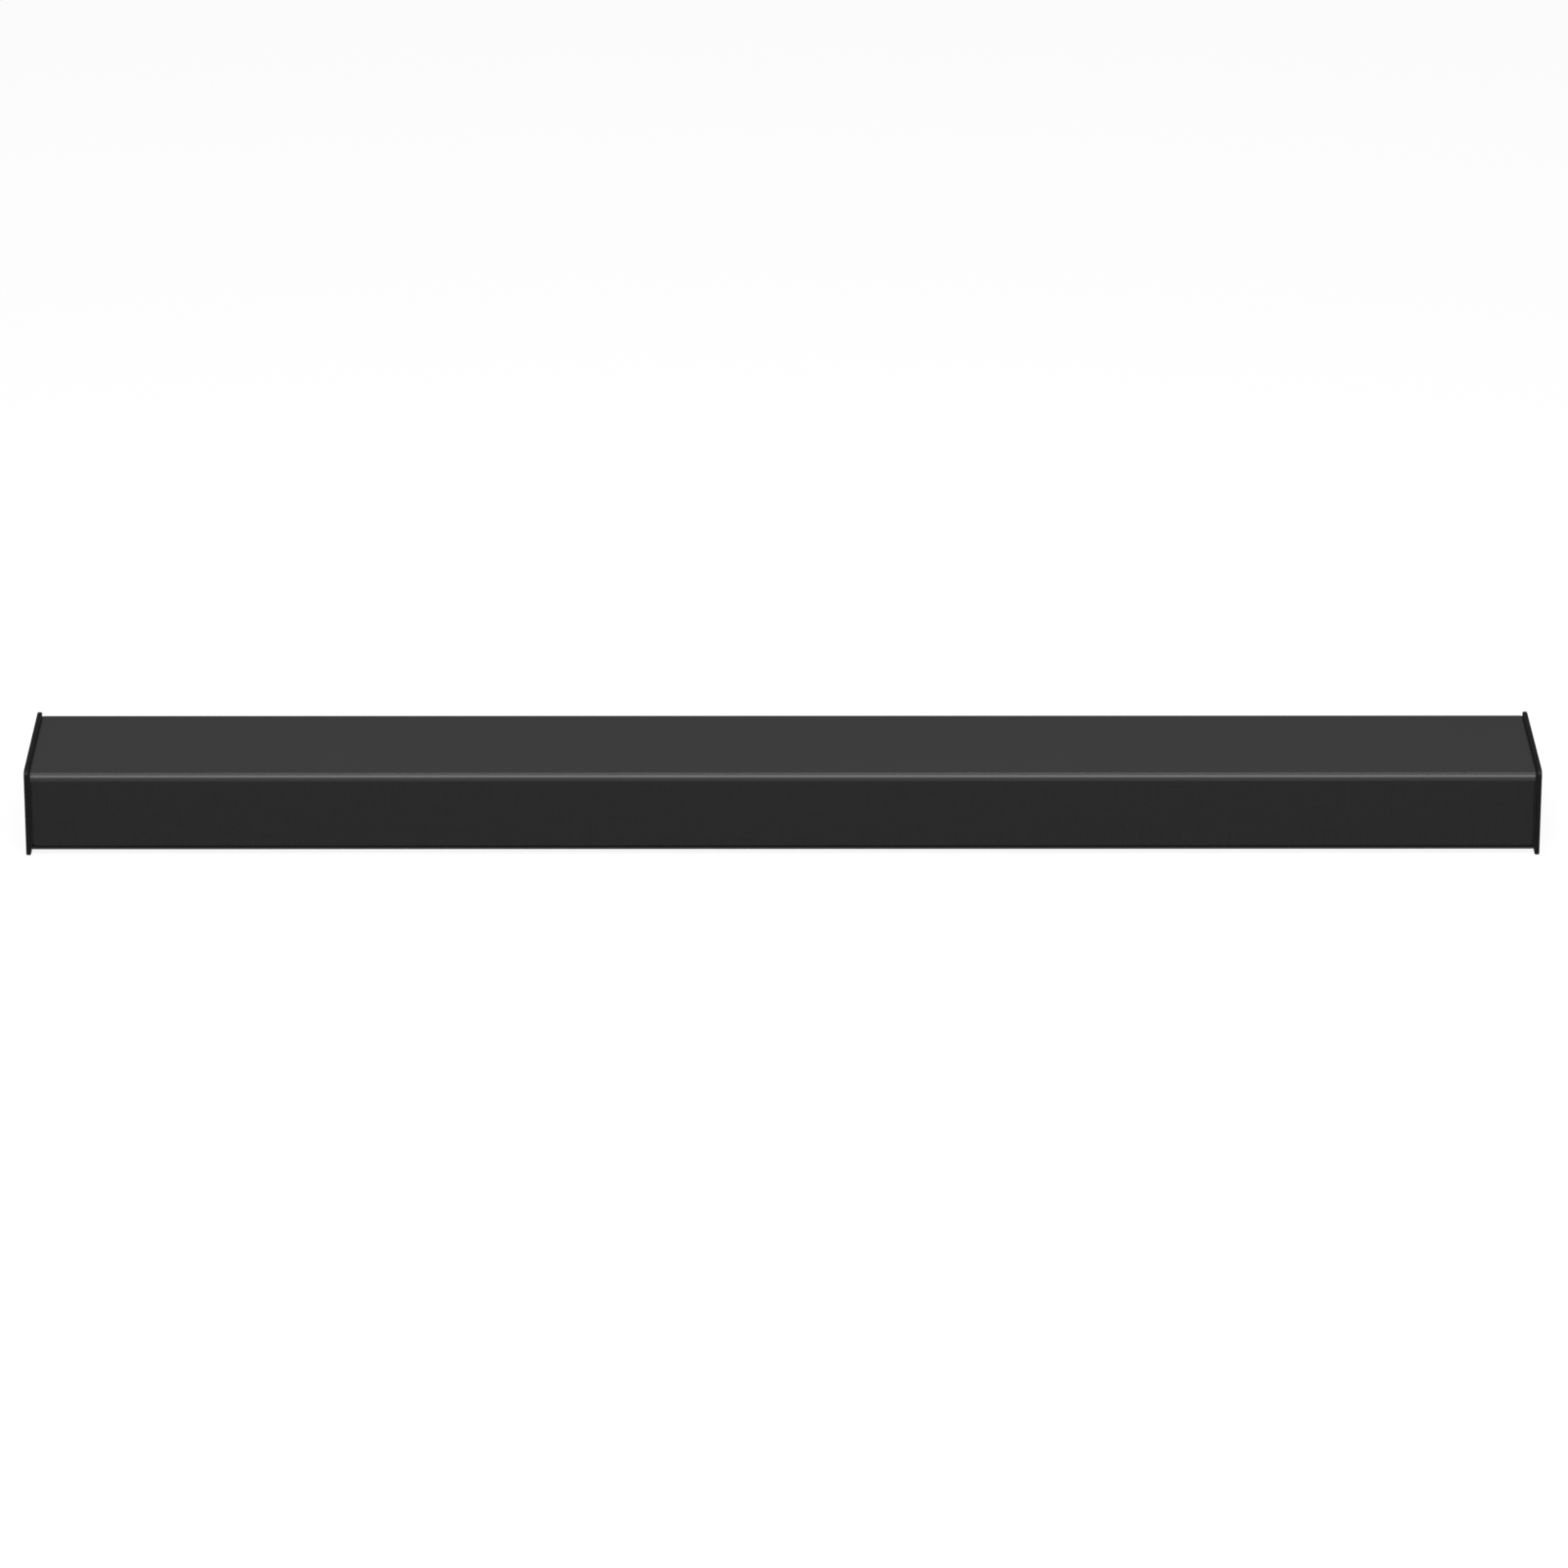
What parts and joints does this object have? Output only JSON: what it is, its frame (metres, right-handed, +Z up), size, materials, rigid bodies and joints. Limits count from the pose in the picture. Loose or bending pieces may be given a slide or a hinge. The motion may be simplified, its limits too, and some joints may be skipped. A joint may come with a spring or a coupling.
{
  "type": "soundbar",
  "caption": "Slim straight soundbar with flat top, rounded front edge, end plates that stand proud, pull-off fabric grille, oblong drivers and a rear connector bay.",
  "frame": {"origin": "on the surface that the feet stand on, under the middle of the bar", "axes": "+X along the bar to the right as seen from the front, -Y out of the grille, +Z up"},
  "size_m": [0.96, 0.11, 0.058],
  "materials": {
    "shell_coat": "satin",
    "plate_black": "satin",
    "chassis_plastic": "matte",
    "frame_plastic": "matte",
    "grille_cloth": "matte",
    "black_rubber": "matte",
    "cone_paper": "matte",
    "spider_cloth": "matte",
    "dome_silk": "satin",
    "motor_steel": "satin",
    "screw_steel": "satin",
    "bright_steel": "satin",
    "insert_brass": "satin",
    "socket_plastic": "satin",
    "board_green": "satin",
    "capacitor_sleeve": "satin",
    "sink_aluminium": "satin",
    "transformer_core": "matte",
    "lens_plastic": "gloss",
    "lead_sleeve": "matte"
  },
  "bodies": {
    "housing": {"top_shell": "shell_coat", "bottom_chassis": "chassis_plastic", "rear_panel": "chassis_plastic", "end_plate_left": "plate_black", "end_plate_right": "plate_black", "end_gaskets": "black_rubber", "countersunk_screws": "screw_steel", "rubber_feet": "black_rubber", "grille_sockets": "black_rubber", "front_baffle": "frame_plastic", "pan_head_screws": "screw_steel", "display_board": "board_green", "display_lens": "lens_plastic", "bass_port_left": "frame_plastic", "bass_port_right": "frame_plastic", "keyhole_plates": "bright_steel", "wall_inserts": "insert_brass", "connector_bay": "frame_plastic", "mains_inlet": "socket_plastic", "hdmi_socket": "bright_steel", "usb_socket": "bright_steel", "optical_socket": "socket_plastic", "aux_socket": "socket_plastic", "main_board": "board_green", "power_board": "board_green", "board_capacitors": "capacitor_sleeve", "amp_heatsink": "sink_aluminium", "power_transformer": "transformer_core", "speaker_leads": "lead_sleeve", "tweeter_motors": "motor_steel", "woofer_1_frame": "frame_plastic", "woofer_1_motor": "motor_steel", "woofer_1_surround": "black_rubber", "woofer_1_spider": "spider_cloth", "woofer_2_frame": "frame_plastic", "woofer_2_motor": "motor_steel", "woofer_2_surround": "black_rubber", "woofer_2_spider": "spider_cloth", "woofer_3_frame": "frame_plastic", "woofer_3_motor": "motor_steel", "woofer_3_surround": "black_rubber", "woofer_3_spider": "spider_cloth", "woofer_4_frame": "frame_plastic", "woofer_4_motor": "motor_steel", "woofer_4_surround": "black_rubber", "woofer_4_spider": "spider_cloth", "tweeter_1_frame": "frame_plastic", "tweeter_2_frame": "frame_plastic"},
    "grille": {"grille_frame": "frame_plastic", "grille_fabric": "grille_cloth"},
    "rocker": {"power_rocker": "socket_plastic"},
    "pair_key": {"pair_button": "frame_plastic"},
    "source_key": {"source_button": "frame_plastic"},
    "shutter": {"optical_shutter": "socket_plastic"},
    "woofer_1_moving": {"woofer_1_cone": "cone_paper"},
    "woofer_2_moving": {"woofer_2_cone": "cone_paper"},
    "woofer_3_moving": {"woofer_3_cone": "cone_paper"},
    "woofer_4_moving": {"woofer_4_cone": "cone_paper"},
    "tweeter_1_moving": {"tweeter_1_dome": "dome_silk"},
    "tweeter_2_moving": {"tweeter_2_dome": "dome_silk"}
  },
  "joints": [
    {"name": "grille_pull_off", "type": "slide", "parent": "housing", "child": "grille", "axis": [0, -1, 0], "range_m": [0, 0.06]},
    {"name": "woofer_1_excursion", "type": "slide", "parent": "housing", "child": "woofer_1_moving", "axis": [0, -1, 0], "range_m": [-0.0025, 0.0025], "stiffness_N_per_m": 1600, "deforming": ["woofer_1_surround", "woofer_1_spider"]},
    {"name": "woofer_2_excursion", "type": "slide", "parent": "housing", "child": "woofer_2_moving", "axis": [0, -1, 0], "range_m": [-0.0025, 0.0025], "stiffness_N_per_m": 1600, "deforming": ["woofer_2_surround", "woofer_2_spider"]},
    {"name": "woofer_3_excursion", "type": "slide", "parent": "housing", "child": "woofer_3_moving", "axis": [0, -1, 0], "range_m": [-0.0025, 0.0025], "stiffness_N_per_m": 1600, "deforming": ["woofer_3_surround", "woofer_3_spider"]},
    {"name": "woofer_4_excursion", "type": "slide", "parent": "housing", "child": "woofer_4_moving", "axis": [0, -1, 0], "range_m": [-0.0025, 0.0025], "stiffness_N_per_m": 1600, "deforming": ["woofer_4_surround", "woofer_4_spider"]},
    {"name": "tweeter_1_excursion", "type": "slide", "parent": "housing", "child": "tweeter_1_moving", "axis": [0, -1, 0], "range_m": [-0.0003, 0.0003], "stiffness_N_per_m": 3000},
    {"name": "tweeter_2_excursion", "type": "slide", "parent": "housing", "child": "tweeter_2_moving", "axis": [0, -1, 0], "range_m": [-0.0003, 0.0003], "stiffness_N_per_m": 3000},
    {"name": "power_rocker_tilt", "type": "hinge", "parent": "housing", "child": "rocker", "pos_m": [-0.064, 0.029, 0.0255], "axis": [1, 0, 0], "range_deg": [-14, 0]},
    {"name": "pair_button_press", "type": "slide", "parent": "housing", "child": "pair_key", "axis": [0, -1, 0], "range_m": [0, 0.0008], "stiffness_N_per_m": 1500},
    {"name": "source_button_press", "type": "slide", "parent": "housing", "child": "source_key", "axis": [0, -1, 0], "range_m": [0, 0.0008], "stiffness_N_per_m": 1500},
    {"name": "optical_shutter_swing", "type": "hinge", "parent": "housing", "child": "shutter", "pos_m": [-0.012, 0.0332, 0.0288], "axis": [1, 0, 0], "range_deg": [-80, 0], "stiffness_Nm_per_rad": 0.0005}
  ]
}
